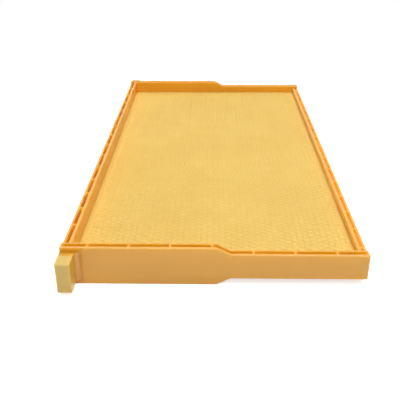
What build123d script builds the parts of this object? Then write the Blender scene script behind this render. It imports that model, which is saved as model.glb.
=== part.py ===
from build123d import *
import os

# Snap-together plastic hive frame with its foundation sheet, lying flat on its shoulders.
# +X runs from the top bar to the bottom bar, +Y along the top bar, +Z through the thickness.
# The origin is under the middle of the frame, on the surface that the shoulders lie on.
# Every piece is symmetric about the sheet's mid-plane. All sizes are in millimetres.

# Whole frame
frame_height = 233.0  # over the two ends of the end bars
frame_length = 448.0  # over the outer faces of the two end bars
shoulder_width = 32.2  # thickness where neighbouring frames touch
rib_thickness = 1.5  # cross ribs in the open channels of all four bars
web_thickness = 5.0  # mid-plane web that joins the two walls of a bar

# End bars: two walls with an open channel between them, wide at the shoulder
end_outer_wall = 2.4
end_channel = 3.6
end_inner_wall = 2.0
end_wall = 1.6  # closes the channel at both ends
shoulder_length = 118.0  # from the top end to the start of the slope
slope_length = 10.8  # from the shoulder down to the waist
waist_width = 21.1  # thickness below the slope
end_rib_count = 7
end_rib_first = 20.4  # top end of the bar to its first rib
end_rib_last = 24.2  # last rib to the bottom end of the bar
corner_radius = 0.8  # corners of the side outline at both ends
slope_radius = 2.5  # where the slope meets the shoulder and the waist
outer_edge_radius = 0.5  # round the outer face
inner_edge_radius = 0.4  # round the inner face

# Top bar between the end bars
top_bar_recess = 1.0  # the outer face lies this far inside the ends of the end bars
top_bar_setback = 0.6  # the rims lie this far inside the shoulders
top_outer_wall = 2.0
top_channel = 2.7
top_inner_wall = 2.3
top_rib_count = 14

# Lugs that hang the frame in the hive, and the necks that join them to the top bar
lug_reach = 17.8  # beyond the end bar's outer face
lug_thickness = 11.0
lug_setback = 3.7  # the lug's sides lie this far inside the shoulders
lug_edge_radius = 0.8
lug_root_radius = 4.0  # concave curve from the underside to the root flange
lug_flange = 0.3  # thin flange at the root, on the end bar's outer face
neck_width = 18.0
neck_root = 6.0  # solid length of the neck inside the top bar's channel
tine_floor = 2.2  # floor of the channel above the fork's slot
fork_floor = 2.0  # block left below the fork's slot

# Bottom bar between the end bars
bottom_bar_setback = 2.4  # the rims lie this far inside the end bar's waist
bottom_outer_wall = 2.0
bottom_channel = 2.3
bottom_inner_wall = 2.4
bottom_rib_count = 15
bottom_end_bay = 8.1  # end bar's inner face to the first rib
bar_edge_radius = 0.5  # rims of the top and bottom bars

# Tenons of the bottom bar and their sockets in the end bars
tenon_length = 4.8
tenon_thickness = 3.4
tenon_width = 9.0
tenon_chamfer = 0.5
socket_wall = 2.6

# Snap beads: half-round ridges that click into grooves
neck_bead_radius = 0.7
neck_bead_inset = 1.0  # from the end bar's faces to the ends of the bead
tenon_bead_radius = 0.5

# Foundation sheet, held by a tongue all round in the bars' grooves
sheet_thickness = 2.0
cell_depth = 0.9  # the cells' walls stand this far above each face of the sheet
field_gap = 0.3  # the raised field of cells stops this far short of the bars
field_edge_chamfer = 0.1
tongue = 2.0

# Clearances of the fits
fit_gap = 0.1  # each side of a neck, tenon, bead or tongue
end_gap = 0.3  # beyond the end of a tenon or tongue
lug_gap = 0.1  # between the lug's flange and the end bar's outer face

# Positions that follow from the sizes
mid_z = shoulder_width / 2
mid_plane = Plane.XY.offset(mid_z)
end_bar_thickness = end_outer_wall + end_channel + end_inner_wall
top_bar_depth = top_outer_wall + top_channel + top_inner_wall
bottom_bar_depth = bottom_outer_wall + bottom_channel + bottom_inner_wall
top_x = -frame_height / 2
bottom_x = frame_height / 2
top_outer_x = top_x + top_bar_recess
top_inner_x = top_outer_x + top_bar_depth
bottom_inner_x = bottom_x - bottom_bar_depth
end_y = frame_length / 2
inner_y = end_y - end_bar_thickness
inner_length = 2 * inner_y
opening_height = bottom_inner_x - top_inner_x
opening_x = (top_inner_x + bottom_inner_x) / 2
groove_depth = tongue + end_gap
groove_width = sheet_thickness + 2 * fit_gap
slot_width = neck_width + 2 * fit_gap
neck_x = top_outer_x + top_bar_depth / 2
neck_bead_y = inner_y + end_bar_thickness / 2
neck_bead_length = end_bar_thickness - 2 * neck_bead_inset
tenon_x = bottom_x - bottom_bar_depth / 2
tenon_bead_y = inner_y + tenon_length / 2

# Left end bar: the side outline, hollowed from both faces, with its fork, socket and groove
shoulder_x = top_x + shoulder_length
waist_x = shoulder_x + slope_length
channel_y = -(inner_y + end_inner_wall + end_channel / 2)
channel_length = frame_height - 2 * end_wall
end_rib_pitch = (frame_height - end_rib_first - end_rib_last) / (end_rib_count - 1)
end_rib_centre = (end_rib_first - end_rib_last) / 2
fork_depth = top_inner_x - top_x
fork_length = fork_depth + fork_floor - end_wall
socket_thickness = tenon_thickness + 2 * fit_gap
socket_width = tenon_width + 2 * fit_gap
socket_length = (bottom_bar_depth + socket_thickness) / 2 + socket_wall - end_wall

with BuildPart() as left_end_bar:
    with BuildSketch(Plane((0, -inner_y, mid_z), x_dir=(1, 0, 0), z_dir=(0, -1, 0))) as outline:
        with BuildLine():
            Polyline(
                (top_x, -shoulder_width / 2),
                (top_x, shoulder_width / 2),
                (shoulder_x, shoulder_width / 2),
                (waist_x, waist_width / 2),
                (bottom_x, waist_width / 2),
                (bottom_x, -waist_width / 2),
                (waist_x, -waist_width / 2),
                (shoulder_x, -shoulder_width / 2),
                close=True,
            )
        make_face()
        fillet(outline.vertices().filter_by_position(Axis.X, shoulder_x, waist_x), slope_radius)
        ends = outline.vertices().sort_by(Axis.X)
        fillet(ends[:2] + ends[-2:], corner_radius)
    extrude(amount=end_bar_thickness)
    fillet(left_end_bar.faces().sort_by(Axis.Y)[0].edges(), outer_edge_radius)
    fillet(left_end_bar.faces().sort_by(Axis.Y)[-1].edges(), inner_edge_radius)
    # Open bays between the cross ribs, then the channel's floor at three depths
    with BuildSketch(mid_plane):
        with Locations((0, channel_y)):
            Rectangle(channel_length, end_channel)
        with Locations((end_rib_centre, channel_y)):
            with GridLocations(end_rib_pitch, end_channel, end_rib_count, 1):
                Rectangle(rib_thickness, end_channel, mode=Mode.SUBTRACT)
    extrude(amount=shoulder_width, both=True, mode=Mode.SUBTRACT)
    with BuildSketch(mid_plane):
        with Locations((0, channel_y)):
            Rectangle(channel_length, end_channel)
    extrude(amount=web_thickness / 2, both=True)
    with BuildSketch(mid_plane):
        with Locations((top_x + end_wall + fork_length / 2, channel_y)):
            Rectangle(fork_length, end_channel)
    extrude(amount=slot_width / 2 + tine_floor, both=True)
    with BuildSketch(mid_plane):
        with Locations((bottom_x - end_wall - socket_length / 2, channel_y)):
            Rectangle(socket_length, end_channel)
    extrude(amount=socket_width / 2 + socket_wall, both=True)
    # Fork for the top bar's neck, open at the top end, with grooves for its beads
    with Locations((top_x + fork_depth / 2, channel_y, mid_z)):
        Box(fork_depth, 2 * end_bar_thickness, slot_width, mode=Mode.SUBTRACT)
    with Locations((neck_x, -neck_bead_y, mid_z)):
        with Locations((0, 0, neck_width / 2), (0, 0, -neck_width / 2)):
            Cylinder(
                neck_bead_radius + fit_gap,
                neck_bead_length + 2 * fit_gap,
                rotation=(90, 0, 0),
                mode=Mode.SUBTRACT,
            )
    # Blind socket for the bottom bar's tenon, with grooves for its beads
    with Locations((tenon_x, -inner_y, mid_z)):
        Box(
            socket_thickness,
            tenon_length + end_gap,
            socket_width,
            align=(Align.CENTER, Align.MAX, Align.CENTER),
            mode=Mode.SUBTRACT,
        )
    with Locations((tenon_x, -tenon_bead_y, mid_z)):
        with Locations((0, 0, tenon_width / 2), (0, 0, -tenon_width / 2)):
            Cylinder(
                tenon_bead_radius + fit_gap,
                socket_thickness,
                rotation=(0, 90, 0),
                mode=Mode.SUBTRACT,
            )
    # Groove for the foundation sheet's tongue
    with Locations((opening_x, -inner_y, mid_z)):
        Box(
            opening_height,
            groove_depth,
            groove_width,
            align=(Align.CENTER, Align.MAX, Align.CENTER),
            mode=Mode.SUBTRACT,
        )

# Right end bar: the left one's mirror image
with BuildPart() as right_end_bar:
    mirror(left_end_bar.part, about=Plane.XZ)

# Top bar: the ribbed beam between the end bars, then a neck and a lug at each end
top_channel_x = top_outer_x + top_outer_wall + top_channel / 2
top_rib_pitch = inner_length / (top_rib_count + 1)
lug_width = shoulder_width - 2 * lug_setback
lug_root_y = -(end_y + lug_gap)
lug_tip_y = -(end_y + lug_reach)
lug_under_x = top_x + lug_thickness
flange_y = lug_root_y - lug_flange
flange_x = lug_under_x + lug_root_radius + lug_flange
neck_length = neck_root + end_bar_thickness + lug_gap
neck_y = inner_y - neck_root + neck_length / 2

with BuildPart() as top_bar:
    with Locations((neck_x, 0, mid_z)):
        Box(top_bar_depth, inner_length, shoulder_width - 2 * top_bar_setback)
    fillet(top_bar.edges().filter_by(Axis.Y), bar_edge_radius)
    with BuildSketch(mid_plane):
        with Locations((top_channel_x, 0)):
            Rectangle(top_channel, inner_length)
            with GridLocations(top_channel, top_rib_pitch, 1, top_rib_count):
                Rectangle(top_channel, rib_thickness, mode=Mode.SUBTRACT)
    extrude(amount=shoulder_width, both=True, mode=Mode.SUBTRACT)
    with BuildSketch(mid_plane):
        with Locations((top_channel_x, 0)):
            Rectangle(top_channel, inner_length)
    extrude(amount=web_thickness / 2, both=True)
    # Necks that sit in the forks, with their snap beads
    with Locations((neck_x, 0, mid_z)):
        with Locations((0, -neck_y, 0), (0, neck_y, 0)):
            Box(top_bar_depth, neck_length, neck_width)
    with Locations((neck_x, -neck_bead_y, mid_z), (neck_x, neck_bead_y, mid_z)):
        with Locations((0, 0, neck_width / 2), (0, 0, -neck_width / 2)):
            Cylinder(neck_bead_radius, neck_bead_length, rotation=(90, 0, 0))
    # Lugs with a concave underside that spreads into a thin root flange
    with BuildSketch(mid_plane) as lug_plan:
        with BuildLine():
            Polyline(
                (top_x, lug_root_y),
                (top_x, lug_tip_y),
                (lug_under_x, lug_tip_y),
                (lug_under_x, flange_y),
                (flange_x, flange_y),
                (flange_x, lug_root_y),
                close=True,
            )
        make_face()
        fillet(lug_plan.vertices().sort_by_distance((lug_under_x, flange_y))[0], lug_root_radius)
        mirror(about=Plane.XZ)
    extrude(amount=lug_width / 2, both=True)
    fillet(top_bar.faces().sort_by(Axis.Y)[0].edges(), lug_edge_radius)
    fillet(top_bar.faces().sort_by(Axis.Y)[-1].edges(), lug_edge_radius)
    # Groove for the foundation sheet's tongue
    with Locations((top_inner_x, 0, mid_z)):
        Box(
            groove_depth,
            inner_length,
            groove_width,
            align=(Align.MAX, Align.CENTER, Align.CENTER),
            mode=Mode.SUBTRACT,
        )

# Bottom bar: a narrower ribbed beam with a snap tenon at each end
bottom_channel_x = bottom_x - bottom_outer_wall - bottom_channel / 2
bottom_rib_pitch = (inner_length - 2 * bottom_end_bay) / (bottom_rib_count - 1)
bottom_bar_width = waist_width - 2 * bottom_bar_setback

with BuildPart() as bottom_bar:
    with Locations((tenon_x, 0, mid_z)):
        Box(bottom_bar_depth, inner_length, bottom_bar_width)
    fillet(bottom_bar.edges().filter_by(Axis.Y), bar_edge_radius)
    with BuildSketch(mid_plane):
        with Locations((bottom_channel_x, 0)):
            Rectangle(bottom_channel, inner_length)
            with GridLocations(bottom_channel, bottom_rib_pitch, 1, bottom_rib_count):
                Rectangle(bottom_channel, rib_thickness, mode=Mode.SUBTRACT)
    extrude(amount=shoulder_width, both=True, mode=Mode.SUBTRACT)
    with BuildSketch(mid_plane):
        with Locations((bottom_channel_x, 0)):
            Rectangle(bottom_channel, inner_length)
    extrude(amount=web_thickness / 2, both=True)
    # Tenons with a lead-in at the tip and a snap bead on each side
    with Locations((tenon_x, 0, mid_z)):
        Box(tenon_thickness, inner_length + 2 * tenon_length, tenon_width)
    chamfer(bottom_bar.faces().sort_by(Axis.Y)[0].edges(), tenon_chamfer)
    chamfer(bottom_bar.faces().sort_by(Axis.Y)[-1].edges(), tenon_chamfer)
    with Locations((tenon_x, -tenon_bead_y, mid_z), (tenon_x, tenon_bead_y, mid_z)):
        with Locations((0, 0, tenon_width / 2), (0, 0, -tenon_width / 2)):
            Cylinder(tenon_bead_radius, tenon_thickness, rotation=(0, 90, 0))
    # Groove for the foundation sheet's tongue
    with Locations((bottom_inner_x, 0, mid_z)):
        Box(
            groove_depth,
            inner_length,
            groove_width,
            align=(Align.MIN, Align.CENTER, Align.CENTER),
            mode=Mode.SUBTRACT,
        )

# Foundation sheet: a tongue on all four edges, and the raised field of cells on both faces
field_height = opening_height - 2 * field_gap
field_length = inner_length - 2 * field_gap

with BuildPart() as foundation_sheet:
    with BuildSketch(mid_plane):
        with Locations((opening_x, 0)):
            Rectangle(opening_height - 2 * end_gap, inner_length + 2 * tongue)
            Rectangle(opening_height + 2 * tongue, inner_length - 2 * end_gap)
    extrude(amount=sheet_thickness / 2, both=True)
    with BuildSketch(mid_plane):
        with Locations((opening_x, 0)):
            Rectangle(field_height, field_length)
    extrude(amount=sheet_thickness / 2 + cell_depth, both=True)
    chamfer(foundation_sheet.faces().sort_by(Axis.Z)[0].edges(), field_edge_chamfer)
    chamfer(foundation_sheet.faces().sort_by(Axis.Z)[-1].edges(), field_edge_chamfer)

# Names and files of the finished pieces
pieces = {
    "left_end_bar": left_end_bar,
    "right_end_bar": right_end_bar,
    "top_bar": top_bar,
    "bottom_bar": bottom_bar,
    "foundation_sheet": foundation_sheet,
}
os.makedirs("parts", exist_ok=True)
for name, piece in pieces.items():
    piece.part.label = name
    export_step(piece.part, f"parts/{name}.step")
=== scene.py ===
import math

import bpy
import numpy as np
from mathutils import Matrix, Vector
from mathutils.geometry import delaunay_2d_cdt


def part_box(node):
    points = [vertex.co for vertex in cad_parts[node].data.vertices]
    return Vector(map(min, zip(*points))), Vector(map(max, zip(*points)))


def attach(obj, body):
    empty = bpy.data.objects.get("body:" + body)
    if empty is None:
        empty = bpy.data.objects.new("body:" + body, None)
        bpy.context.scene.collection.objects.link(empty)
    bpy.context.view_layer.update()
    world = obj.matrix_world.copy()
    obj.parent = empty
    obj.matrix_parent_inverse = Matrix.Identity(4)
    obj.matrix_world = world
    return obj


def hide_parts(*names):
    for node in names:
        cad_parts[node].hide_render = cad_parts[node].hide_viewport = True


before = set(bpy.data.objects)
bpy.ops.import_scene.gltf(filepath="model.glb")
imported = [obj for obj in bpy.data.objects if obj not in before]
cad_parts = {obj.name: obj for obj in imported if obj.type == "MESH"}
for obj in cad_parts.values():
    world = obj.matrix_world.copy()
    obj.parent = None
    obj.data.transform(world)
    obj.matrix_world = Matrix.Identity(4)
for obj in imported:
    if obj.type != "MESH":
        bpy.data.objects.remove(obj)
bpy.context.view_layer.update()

# Plastic hive frame: the embossed foundation sheet, the plastics of all pieces, and the stage.
# +X runs from the top bar to the bottom bar, +Y along the top bar, +Z through the thickness.
# All lengths are in metres, and MM turns millimetres into metres.

bl_info = {
    "name": "Plastic Hive Frame",
    "version": (1, 0, 0),
    "blender": (4, 5, 0),
    "location": "View3D > Sidebar > Hive Frame",
    "description": "Embosses the foundation sheet, finishes the bars and sets the studio stage",
    "category": "Add Mesh",
}

MM = 0.001
SHEET_BOX = np.array([list(corner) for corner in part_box("foundation_sheet")])
SHEET_SIZE = (SHEET_BOX[1] - SHEET_BOX[0])[:2]
SHEET_MIDDLE = SHEET_BOX.mean(0)[:2]
SHEET_MIDDLE_Z = SHEET_BOX.mean(0)[2]
SHEET_HALF_DEPTH = SHEET_BOX[1, 2] - SHEET_MIDDLE_Z
FRONT, BACK = 1, -1
HEX_CORNERS = 6
FAR_ROW = 100000  # more steps than a row of cells holds, so that a key names one corner
INSIDE_LOOPS = 1  # the kind of Delaunay fill that leaves out triangles beyond the loops
SAME_POINT = 0.0001 * MM  # nearer points count as one in the fill
ROOT_SHADE_BLEND = 0.2 * MM  # the bars blend into the painted shade at the lugs' roots over this length
WHITE = (1, 1, 1, 1)
MIX_FACTOR, MIX_FROM, MIX_TO = 0, 6, 7  # a colour mix node's inputs
MIX_COLOUR = 2  # its output

# How many times longer a streak is along X, Y and Z than it is wide
STREAKS_ALONG_X = (8, 1, 1)
STREAKS_ALONG_Y = (1, 8, 1)
STREAKS_IN_SHEET = (3, 3, 1)


def linear(hex_colour):
    """Linear RGB of an sRGB colour written as #RRGGBB."""
    srgb = np.array([int(hex_colour[i : i + 2], 16) for i in (1, 3, 5)]) / 255
    low = srgb / 12.92
    high = ((srgb + 0.055) / 1.055) ** 2.4
    return tuple(float(c) for c in np.where(srgb <= 0.04045, low, high))


def length(name, description, millimetres):
    """A length property whose default is given in millimetres."""
    return bpy.props.FloatProperty(
        name=name, description=description, default=millimetres * MM, unit="LENGTH", precision=5
    )


def colour(name, description, hex_colour):
    """A colour property whose default is an sRGB hex value."""
    return bpy.props.FloatVectorProperty(
        name=name, description=description, default=linear(hex_colour), subtype="COLOR", min=0, max=1
    )


def share(name, description, level):
    """A property that goes from 0 to 1."""
    return bpy.props.FloatProperty(
        name=name, description=description, default=level, subtype="FACTOR", min=0, max=1
    )


def angle(name, description, radians):
    """An angle property whose default is given in radians."""
    return bpy.props.FloatProperty(
        name=name, description=description, default=radians, subtype="ANGLE"
    )


class FoundationSettings(bpy.types.PropertyGroup):
    """Sizes of the foundation sheet and its embossed cells."""

    sheet_thickness: length("Sheet thickness", "Plain border and tongue of the sheet", 2.0)
    tongue: length("Tongue", "Depth of the sheet's edge in the bars' grooves", 2.0)
    corner_gap: length("Corner gap", "The tongues stop this far short of the corners", 0.05)
    field_gap: length("Field gap", "The raised field stops this far short of the bars", 0.1)
    cell_margin: length("Cell margin", "Least land between the cells and the field's edge", 1.0)
    cell_width: length("Cell width", "Worker cell, across the flats", 5.63)
    wall_thickness: length("Wall thickness", "Flat top of the wall between two cells", 0.25)
    wall_draft: length("Wall draft", "Each side of a wall widens by this to its foot", 0.7)
    wall_depth: length("Wall depth", "From the wall's top to its lower feet", 0.7)
    floor_fall: length("Floor fall", "From the lower feet to the middle of the floor", 0.05)


class PlasticSettings(bpy.types.PropertyGroup):
    """Colours and skins of the plastics."""

    # All four bars are one plastic; their two base tones carry painted light, each tuned to how the
    # light falls on the faces that bar shows, with the top and bottom bars painted paler than the end
    # bars
    end_bar_colour: colour("End bars", "Moulded polypropylene of the two end bars", "#EFAD24")
    end_bar_streak: colour("End bar streak", "Darker flow streaks in the end bars", "#EBA71E")
    bar_colour: colour("Bars", "Moulded polypropylene of the top and bottom bars", "#FAB531")
    bar_streak: colour("Bar streak", "Darker flow streaks in the top and bottom bars", "#F6AF2B")
    # Painted shade: the concave curves at the lugs' roots are painted darker than the bars, where they
    # lie in shade
    painted_root_shade: colour("Lug roots", "Curves at the lugs' roots, darker than the bars", "#E0A22C")
    # Painted light: the lugs are the bars' plastic painted paler and yellower, standing in for the red
    # light that shines through the thin walls and not through the thick lugs; lug_root and lug_blend
    # place this painted tone
    painted_lug_tone: colour("Lugs", "Thick plastic of the lugs, paler than the thin walls", "#E0BA50")
    lug_root: length("Lug root", "The lugs turn pale this far out from the end bars", 3.0)
    lug_blend: length("Lug blend", "The lugs turn pale over this length", 4.0)
    foundation_colour: colour("Foundation", "Moulded polypropylene of the sheet", "#EBC768")
    foundation_streak: colour("Foundation streak", "Darker clouds in the sheet", "#E7C160")
    bar_scatter: length("Bar scatter", "How far red light travels inside the bars", 4.2)
    foundation_scatter: length("Foundation scatter", "How far red light travels inside the sheet", 0.5)
    bar_roughness: share("Bar roughness", "Blur of what the bars' satin skin reflects", 0.3)
    bar_sheen: share("Bar sheen", "Strength of what the bars' satin skin reflects", 0.75)
    foundation_roughness: share("Foundation roughness", "Blur of what the sheet's skin reflects", 0.4)
    foundation_sheen: share("Foundation sheen", "Strength of what the sheet's skin reflects", 0.22)


class StageSettings(bpy.types.PropertyGroup):
    """Camera, light and floor."""

    camera_place: bpy.props.FloatVectorProperty(
        name="Camera place",
        description="Where the camera stands",
        default=(-2.468 * MM, -605.994 * MM, 268.476 * MM),
        subtype="TRANSLATION",
    )
    camera_pitch: angle("Camera pitch", "Looks down by this", 0.47296)
    camera_yaw: angle("Camera yaw", "Looks to the right of +Y by this", -0.02145)
    camera_roll: angle("Camera roll", "Tilts about the line of sight", -0.00464)
    camera_lens: bpy.props.FloatProperty(
        name="Camera lens", description="On a 36 mm sensor", default=54.164, unit="CAMERA"
    )
    softbox_place: bpy.props.FloatVectorProperty(
        name="Softbox place",
        description="Middle of the overhead softbox",
        default=(0.15, -0.1, 1.5),
        subtype="TRANSLATION",
    )
    softbox_length: length("Softbox length", "Along the end bars", 1600.0)
    softbox_width: length("Softbox width", "Along the top bar", 3000.0)
    softbox_level: bpy.props.FloatProperty(
        name="Softbox level", description="Radiance of the overhead softbox", default=2.4, min=0
    )
    room_level: bpy.props.FloatProperty(
        name="Room level", description="Even light from all round", default=0.15, min=0
    )
    floor_size: length("Floor size", "Side of the square floor", 12000.0)
    floor_colour: colour("Floor", "White paper under the frame", "#F4F4F4")
    floor_lift: bpy.props.FloatProperty(
        name="Floor lift",
        description="Whitens the floor in sight, and leaves a shadow",
        default=0.7,
        min=0,
    )
    shadow_reach: length("Shadow reach", "The floor is plain white beyond this radius", 900.0)


def add_node(tree, kind, links=None, values=None, **settings):
    """Adds a node, sets its properties and input values, and links its inputs to the given outputs."""
    node = tree.nodes.new(kind)
    for name, value in settings.items():
        setattr(node, name, value)
    for name, value in (values or {}).items():
        node.inputs[name].default_value = value
    for name, socket in (links or {}).items():
        tree.links.new(socket, node.inputs[name])
    return node


def new_material(name):
    """An empty node material and its tree."""
    material = bpy.data.materials.new(name)
    material.use_nodes = True
    material.node_tree.nodes.clear()
    return material, material.node_tree


def zoned(tree, place, pigment, zones):
    """The pigment, and other colours beyond given distances from the middle along Y: in the bars,
    painted shade at the lugs' roots and a painted paler tone on the lugs.

    Each zone is a colour, the distance where it begins, and the length over which it blends in.
    """
    along_y = add_node(tree, "ShaderNodeSeparateXYZ", {"Vector": place}).outputs["Y"]
    reach = add_node(tree, "ShaderNodeMath", {0: along_y}, operation="ABSOLUTE").outputs["Value"]
    for zone_colour, zone_start, zone_blend in zones:
        inside = add_node(
            tree,
            "ShaderNodeMapRange",
            {"Value": reach},
            {"From Min": zone_start, "From Max": zone_start + zone_blend},
            interpolation_type="SMOOTHSTEP",
        )
        pigment = add_node(
            tree,
            "ShaderNodeMix",
            {MIX_FACTOR: inside.outputs["Result"], MIX_FROM: pigment},
            {MIX_TO: (*zone_colour, 1)},
            data_type="RGBA",
        ).outputs[MIX_COLOUR]
    return pigment


def moulded_polypropylene(name, base, streak, scatter_depth, skin, stretch, zones=()):
    """Injection-moulded polypropylene with a satin skin.

    The eye sees a soft, broad highlight, faint flow streaks in the pigment along the way the melt ran,
    a slight orange peel that breaks up the gloss, and a warm glow in thin walls and narrow channels,
    because red and green light travel further inside the plastic than blue. skin is the roughness and
    the strength of the reflection. stretch is how many times longer a streak is along X, Y and Z than it
    is wide. zones are other colours further out along Y.
    """
    streak_width = 9 * MM
    streak_breakup = 0.55
    cloud_width = 70 * MM
    peel_width = 3.5 * MM  # the real skin's grit is finer, and drawn this coarse so that it shows
    peel_height = 0.012 * MM
    streak_level, base_level = 0.75, 1.25  # sums of streaks and clouds that show one colour alone
    satin_cloud, dull_cloud = 0.3, 0.7  # clouds where the skin is smoothest and roughest
    scatter_shares = (1.0, 1.0, 0.5)
    refractive_index = 1.49
    roughness, sheen = skin
    roughness_spread = 0.02  # small, since glossier spots render as patches with a sharp edge
    material, tree = new_material(name)
    place = add_node(tree, "ShaderNodeTexCoord").outputs["Object"]
    along = add_node(
        tree,
        "ShaderNodeMapping",
        {"Vector": place},
        {"Scale": tuple(1 / s for s in stretch)},
    ).outputs["Vector"]
    streaks = add_node(
        tree,
        "ShaderNodeTexNoise",
        {"Vector": along},
        {"Scale": 1 / streak_width, "Detail": 3, "Roughness": streak_breakup},
    )
    clouds = add_node(
        tree,
        "ShaderNodeTexNoise",
        {"Vector": place},
        {"Scale": 1 / cloud_width, "Detail": 2},
    )
    both = add_node(
        tree,
        "ShaderNodeMath",
        {0: streaks.outputs["Fac"], 1: clouds.outputs["Fac"]},
        operation="ADD",
    )
    base_share = add_node(
        tree,
        "ShaderNodeMapRange",
        {"Value": both.outputs["Value"]},
        {"From Min": streak_level, "From Max": base_level},
    )
    pigment = add_node(
        tree,
        "ShaderNodeMix",
        {MIX_FACTOR: base_share.outputs["Result"]},
        {MIX_FROM: (*streak, 1), MIX_TO: (*base, 1)},
        data_type="RGBA",
    ).outputs[MIX_COLOUR]
    if zones:
        pigment = zoned(tree, place, pigment, zones)
    peel = add_node(
        tree,
        "ShaderNodeTexNoise",
        {"Vector": place},
        {"Scale": 1 / peel_width, "Detail": 2},
    )
    gloss = add_node(
        tree,
        "ShaderNodeMapRange",
        {"Value": clouds.outputs["Fac"]},
        {
            "From Min": satin_cloud,
            "From Max": dull_cloud,
            "To Min": roughness - roughness_spread,
            "To Max": roughness + roughness_spread,
        },
    )
    relief = add_node(
        tree,
        "ShaderNodeBump",
        {"Height": peel.outputs["Fac"]},
        {"Strength": 1.0, "Distance": peel_height},
    )
    plastic = add_node(
        tree,
        "ShaderNodeBsdfPrincipled",
        {
            "Base Color": pigment,
            "Roughness": gloss.outputs["Result"],
            "Normal": relief.outputs["Normal"],
        },
        {
            "IOR": refractive_index,
            "Specular IOR Level": sheen,
            "Subsurface Weight": 1.0,
            "Subsurface Radius": scatter_shares,
            "Subsurface Scale": scatter_depth,
        },
        subsurface_method="BURLEY",
    )
    add_node(tree, "ShaderNodeOutputMaterial", {"Surface": plastic.outputs["BSDF"]})
    return material


def new_piece(name, vertices, faces, material, node):
    """A mesh piece that rides on the frame and stands for a CAD node."""
    mesh = bpy.data.meshes.new(name)
    mesh.from_pydata(vertices, [], faces)
    mesh.validate()
    mesh.materials.append(material)
    piece = bpy.data.objects.new(name, mesh)
    bpy.context.scene.collection.objects.link(piece)
    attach(piece, "root")
    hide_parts(node)


def sheet_outline(settings):
    """Plan of the sheet with its tongues, as corners in turn: two crossed rectangles.

    Each quarter has three corners: the end of one tongue, the inner corner, and the end of the other
    tongue. The quarter is mirrored into the other three, in an order that keeps the loop turning left.
    """
    long_x, long_y = SHEET_SIZE / 2
    short_x, short_y = SHEET_SIZE / 2 - settings.tongue - settings.corner_gap
    quarter = np.array([(long_x, short_y), (short_x, short_y), (short_x, long_y)])
    turns = [(1, 1, 1), (-1, 1, -1), (-1, -1, 1), (1, -1, -1)]
    return SHEET_MIDDLE + np.concatenate([quarter[::step] * (sx, sy) for sx, sy, step in turns])


def field_edge(rows, columns):
    """Corners round the outside of the field of cells, turning left, in half steps of the lattice.

    Along both ends each row gives a wall of two corners, and every second row stands one step further
    along Y. Along both sides the corners zigzag, with the tips of the cells one step further out.
    """
    row = np.repeat(np.arange(rows), 2)
    wall = 3 * row + np.tile((-1, 1), rows)
    step = np.arange(2 * columns - 1)
    tip = 1 - step % 2
    last = rows - 1
    near_end = np.column_stack((wall, row % 2 - 1))
    far_end = np.column_stack((wall, row % 2 + 2 * columns - 1))
    low_side = np.column_stack((-1 - tip, step))
    high_side = np.column_stack((3 * last + 1 + tip, step + last % 2))
    return np.concatenate((near_end, high_side, far_end[::-1], low_side[::-1]))


def band(outer, inner):
    """Quads between rings of vertex numbers, one ring a row, with the outer ring on the right hand."""
    return np.stack((outer, np.roll(outer, -1, 1), np.roll(inner, -1, 1), inner), -1).reshape(-1, 4)


def fill_between(outer, inner):
    """Triangles that fill the plan between two loops, all turning left."""
    plan = np.concatenate((outer, inner)).tolist()
    loops = [range(len(outer)), range(len(outer), len(plan))]
    filled = delaunay_2d_cdt(plan, [], [list(loop) for loop in loops], INSIDE_LOOPS, SAME_POINT)
    points, _, triangles, _, _, loops_round = filled
    if len(points) != len(plan):
        raise ValueError("the loops touch or cross")
    return np.array(triangles)[[len(round_it) == 1 for round_it in loops_round]]


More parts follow.
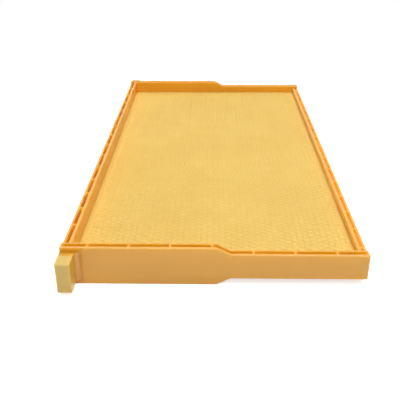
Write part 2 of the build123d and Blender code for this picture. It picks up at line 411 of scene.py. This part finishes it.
def embossed_face(settings, side):
    """One face of the sheet: outline, raised field, and hexagonal cells with rhombic floors.

    Cells stand in rows along Y, each row half a cell beside the last. In half steps of the lattice a
    cell's middle is (3 row, 2 column + row mod 2), and its corners are fixed steps from there, so that
    neighbours share the middle line of their wall. Inside it go two rings of six corners: the edge of
    the wall's flat top, and its foot. Every second foot is higher than the others by as much as the
    middle of the floor is lower, which makes three flat rhombs. The vertices start with the outline.
    """
    field = SHEET_SIZE / 2 - settings.tongue - settings.field_gap
    half = settings.cell_width * np.array((1 / math.sqrt(12), 1 / 2))
    rows, columns = (int(n) for n in (2 * (field - settings.cell_margin) / half - (2, 2)) // (3, 2))
    if rows < 1 or columns < 1:
        raise ValueError("the field has no room for cells")
    row, column = (a.ravel() for a in np.meshgrid(np.arange(rows), np.arange(columns), indexing="ij"))
    centre = np.column_stack((3 * row, 2 * column + row % 2))
    corner = np.array([(2, 0), (1, 1), (-1, 1), (-2, 0), (-1, -1), (1, -1)])
    shared, rim = np.unique((centre[:, None] + corner).reshape(-1, 2), axis=0, return_inverse=True)
    around = np.searchsorted(shared @ (FAR_ROW, 1), field_edge(rows, columns) @ (FAR_ROW, 1))

    # Each face's pattern is moved half way from a middle to a corner, in opposite directions, so that
    # the middle of a cell lies behind a corner of the other face's cells
    start = SHEET_MIDDLE - half * (3 * (rows - 1), 2 * columns - 1) / 2 + side * half / 2
    border_z = settings.sheet_thickness / 2
    top_z = SHEET_HALF_DEPTH
    foot_z = top_z - settings.wall_depth + settings.floor_fall * (np.arange(HEX_CORNERS) % 2)
    middle_z = top_z - settings.wall_depth - settings.floor_fall
    edge_share = 1 - settings.wall_thickness / settings.cell_width
    foot_share = edge_share - 2 * settings.wall_draft / settings.cell_width
    outline = sheet_outline(settings)
    plateau = SHEET_MIDDLE + field * [(1, 1), (-1, 1), (-1, -1), (1, -1)]
    rim_plan = start + half * shared
    groups = [
        (outline, border_z),
        (plateau, border_z),
        (plateau, top_z),
        (rim_plan, top_z),
        (start + half * (centre[:, None] + edge_share * corner).reshape(-1, 2), top_z),
        (start + half * (centre[:, None] + foot_share * corner).reshape(-1, 2), foot_z),
        (start + half * centre, middle_z),
    ]
    vertices = np.concatenate([np.column_stack((plan, np.resize(z, len(plan)))) for plan, z in groups])
    vertices[:, 2] = SHEET_MIDDLE_Z + side * vertices[:, 2]
    ends = np.cumsum([len(plan) for plan, _ in groups])
    outline_at, low_at, high_at, shared_at, edge, foot, floor = np.split(np.arange(ends[-1]), ends[:-1])
    rim = shared_at[rim.reshape(-1, HEX_CORNERS)]
    edge = edge.reshape(-1, HEX_CORNERS)
    foot = foot.reshape(-1, HEX_CORNERS)

    corners = [(k, k + 1, (k + 2) % HEX_CORNERS) for k in (0, 2, 4)]
    rhombs = [np.column_stack((floor, foot[:, three])) for three in corners]
    field_side = band(low_at[None], high_at[None])
    quads = np.concatenate((band(rim, edge), band(edge, foot), *rhombs, field_side))
    ledge = np.concatenate((outline_at, low_at))[fill_between(outline, plateau)]
    land = np.concatenate((high_at, shared_at[around]))[fill_between(plateau, rim_plan[around])]
    triangles = np.concatenate((ledge, land))
    if side == BACK:
        quads, triangles = quads[:, ::-1], triangles[:, ::-1]
    return vertices, quads, triangles, outline_at


def embossed_sheet(settings):
    """Closed sheet: both embossed faces, joined by the quads of the outline's edge."""
    front, front_quads, front_triangles, outline = embossed_face(settings, FRONT)
    back, back_quads, back_triangles, _ = embossed_face(settings, BACK)
    count = len(front)
    edge = band(outline[None] + count, outline[None])
    quads = np.concatenate((front_quads, back_quads + count, edge))
    triangles = np.concatenate((front_triangles, back_triangles + count))
    return np.concatenate((front, back)), [*quads.tolist(), *triangles.tolist()]


class HIVE_OT_foundation(bpy.types.Operator):
    """Make the foundation sheet, with worker cells on both faces and a tongue on each edge"""

    bl_idname = "hive.foundation"
    bl_label = "Foundation Sheet"

    def execute(self, context):
        settings = context.scene.hive_plastic
        plastic = moulded_polypropylene(
            "Moulded polypropylene of the foundation",
            settings.foundation_colour,
            settings.foundation_streak,
            settings.foundation_scatter,
            (settings.foundation_roughness, settings.foundation_sheen),
            STREAKS_IN_SHEET,
        )
        vertices, faces = embossed_sheet(context.scene.hive_foundation)
        new_piece(
            "embossed_foundation", vertices, faces, plastic, "foundation_sheet"
        )
        return {"FINISHED"}


class HIVE_OT_bars(bpy.types.Operator):
    """Finish the four bars in moulded polypropylene"""

    bl_idname = "hive.bars"
    bl_label = "Bars"

    def execute(self, context):
        settings = context.scene.hive_plastic
        skin = settings.bar_roughness, settings.bar_sheen
        # The melt runs along each bar, and so do its streaks: along X in the end bars, else along Y
        end_bars = moulded_polypropylene(
            "Moulded polypropylene of the end bars",
            settings.end_bar_colour,
            settings.end_bar_streak,
            settings.bar_scatter,
            skin,
            STREAKS_ALONG_X,
        )
        root_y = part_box("right_end_bar")[1][1]
        bars = moulded_polypropylene(
            "Moulded polypropylene of the top and bottom bars",
            settings.bar_colour,
            settings.bar_streak,
            settings.bar_scatter,
            skin,
            STREAKS_ALONG_Y,
            [
                # painted shade in the lugs' root curves
                (settings.painted_root_shade, root_y, ROOT_SHADE_BLEND),
                # the lugs' painted paler tone, which stands in for light
                (settings.painted_lug_tone, root_y + settings.lug_root, settings.lug_blend),
            ],
        )
        finishes = {
            "left_end_bar": end_bars,
            "right_end_bar": end_bars,
            "top_bar": bars,
            "bottom_bar": bars,
        }
        for name, plastic in finishes.items():
            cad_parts[name].material_slots[0].material = plastic
        return {"FINISHED"}


def in_sight(tree):
    """1 for rays from the camera and for what is seen in gloss or glass, and 0 for light."""
    path = add_node(tree, "ShaderNodeLightPath")
    shiny = add_node(
        tree,
        "ShaderNodeMath",
        {0: path.outputs["Is Glossy Ray"], 1: path.outputs["Is Transmission Ray"]},
        operation="MAXIMUM",
    )
    return add_node(
        tree,
        "ShaderNodeMath",
        {0: path.outputs["Is Camera Ray"], 1: shiny.outputs["Value"]},
        operation="MAXIMUM",
    ).outputs["Value"]


def white_paper(settings):
    """White paper: matt, with the frame's soft shadow, and plain white away from it."""
    fibre_width = 2 * MM
    fibre_tone = 0.99  # of the paper's own
    fade_start = 0.5  # of the shadow's reach
    material, tree = new_material("Matt white paper")
    seen = in_sight(tree)
    place = add_node(tree, "ShaderNodeTexCoord").outputs["Object"]
    radius = add_node(tree, "ShaderNodeVectorMath", {0: place}, operation="LENGTH")
    fibre = add_node(
        tree, "ShaderNodeTexNoise", {"Vector": place}, {"Scale": 1 / fibre_width, "Detail": 2}
    )
    fibre_colour = [fibre_tone * level for level in settings.floor_colour]
    tone = add_node(
        tree,
        "ShaderNodeMix",
        {MIX_FACTOR: fibre.outputs["Fac"]},
        {MIX_FROM: (*fibre_colour, 1), MIX_TO: (*settings.floor_colour, 1)},
        data_type="RGBA",
    )
    away = add_node(
        tree,
        "ShaderNodeMapRange",
        {"Value": radius.outputs["Value"]},
        {"From Min": fade_start * settings.shadow_reach, "From Max": settings.shadow_reach},
        interpolation_type="SMOOTHSTEP",
    )
    fade = add_node(
        tree, "ShaderNodeMath", {0: away.outputs["Result"], 1: seen}, operation="MULTIPLY"
    )
    lift = add_node(tree, "ShaderNodeMath", {0: seen}, {1: settings.floor_lift}, operation="MULTIPLY")
    paper = add_node(tree, "ShaderNodeBsdfDiffuse", {"Color": tone.outputs[MIX_COLOUR]})
    glow = add_node(tree, "ShaderNodeEmission", {"Strength": lift.outputs["Value"]})
    lit = add_node(tree, "ShaderNodeAddShader", {0: paper.outputs["BSDF"], 1: glow.outputs["Emission"]})
    plain = add_node(tree, "ShaderNodeEmission", {}, {"Strength": 1.0})
    mixed = add_node(
        tree,
        "ShaderNodeMixShader",
        {0: fade.outputs["Value"], 1: lit.outputs["Shader"], 2: plain.outputs["Emission"]},
    )
    add_node(tree, "ShaderNodeOutputMaterial", {"Surface": mixed.outputs["Shader"]})
    return material


def studio_world(settings):
    """Even light from all round, and a white backdrop where the room itself is in sight."""
    world = bpy.data.worlds.new("Studio")
    world.use_nodes = True
    tree = world.node_tree
    tree.nodes.clear()
    level = add_node(
        tree,
        "ShaderNodeMapRange",
        {"Value": in_sight(tree)},
        {"To Min": settings.room_level, "To Max": 1.0},
    )
    light = add_node(
        tree, "ShaderNodeBackground", {"Strength": level.outputs["Result"]}, {"Color": WHITE}
    )
    add_node(tree, "ShaderNodeOutputWorld", {"Surface": light.outputs["Background"]})
    return world


class HIVE_OT_stage(bpy.types.Operator):
    """Set the floor, the light and the camera"""

    bl_idname = "hive.stage"
    bl_label = "Studio Stage"

    def execute(self, context):
        scene = context.scene
        settings = scene.hive_stage
        half = settings.floor_size / 2
        mesh = bpy.data.meshes.new("floor")
        corners = [(-half, -half, 0), (half, -half, 0), (half, half, 0), (-half, half, 0)]
        mesh.from_pydata(corners, [], [range(len(corners))])
        mesh.materials.append(white_paper(settings))
        floor = bpy.data.objects.new("floor", mesh)
        scene.collection.objects.link(floor)

        lamp = bpy.data.lights.new("softbox", "AREA")
        lamp.shape = "RECTANGLE"
        lamp.size = settings.softbox_length
        lamp.size_y = settings.softbox_width
        lamp.energy = settings.softbox_level * math.pi * settings.softbox_length * settings.softbox_width
        softbox = bpy.data.objects.new("softbox", lamp)
        softbox.location = settings.softbox_place
        scene.collection.objects.link(softbox)
        scene.world = studio_world(settings)

        lens = bpy.data.cameras.new("camera")
        lens.lens = settings.camera_lens
        camera = bpy.data.objects.new("camera", lens)
        camera.matrix_world = (
            Matrix.Translation(settings.camera_place)
            @ Matrix.Rotation(-settings.camera_yaw, 4, "Z")
            @ Matrix.Rotation(math.pi / 2 - settings.camera_pitch, 4, "X")
            @ Matrix.Rotation(settings.camera_roll, 4, "Z")
        )
        scene.collection.objects.link(camera)
        scene.camera = camera
        scene.view_settings.view_transform = "Standard"
        return {"FINISHED"}


OPERATORS = (HIVE_OT_foundation, HIVE_OT_bars, HIVE_OT_stage)
SETTINGS = {
    "hive_foundation": FoundationSettings,
    "hive_plastic": PlasticSettings,
    "hive_stage": StageSettings,
}


class HIVE_PT_panel(bpy.types.Panel):
    """Lists the operators and their settings"""

    bl_idname = "HIVE_PT_panel"
    bl_label = "Hive Frame"
    bl_space_type = "VIEW_3D"
    bl_region_type = "UI"
    bl_category = "Hive Frame"

    def draw(self, context):
        for operator in OPERATORS:
            self.layout.operator(operator.bl_idname)
        for name, group in SETTINGS.items():
            box = self.layout.box()
            box.label(text=group.__doc__)
            for setting in group.__annotations__:
                box.prop(getattr(context.scene, name), setting)


CLASSES = (*SETTINGS.values(), *OPERATORS, HIVE_PT_panel)


def register():
    for cls in CLASSES:
        bpy.utils.register_class(cls)
    for name, group in SETTINGS.items():
        setattr(bpy.types.Scene, name, bpy.props.PointerProperty(type=group))


def unregister():
    for name in SETTINGS:
        delattr(bpy.types.Scene, name)
    for cls in reversed(CLASSES):
        bpy.utils.unregister_class(cls)


def main():
    register()
    bpy.ops.hive.foundation()
    bpy.ops.hive.bars()
    bpy.ops.hive.stage()


if __name__ == "__main__":
    main()
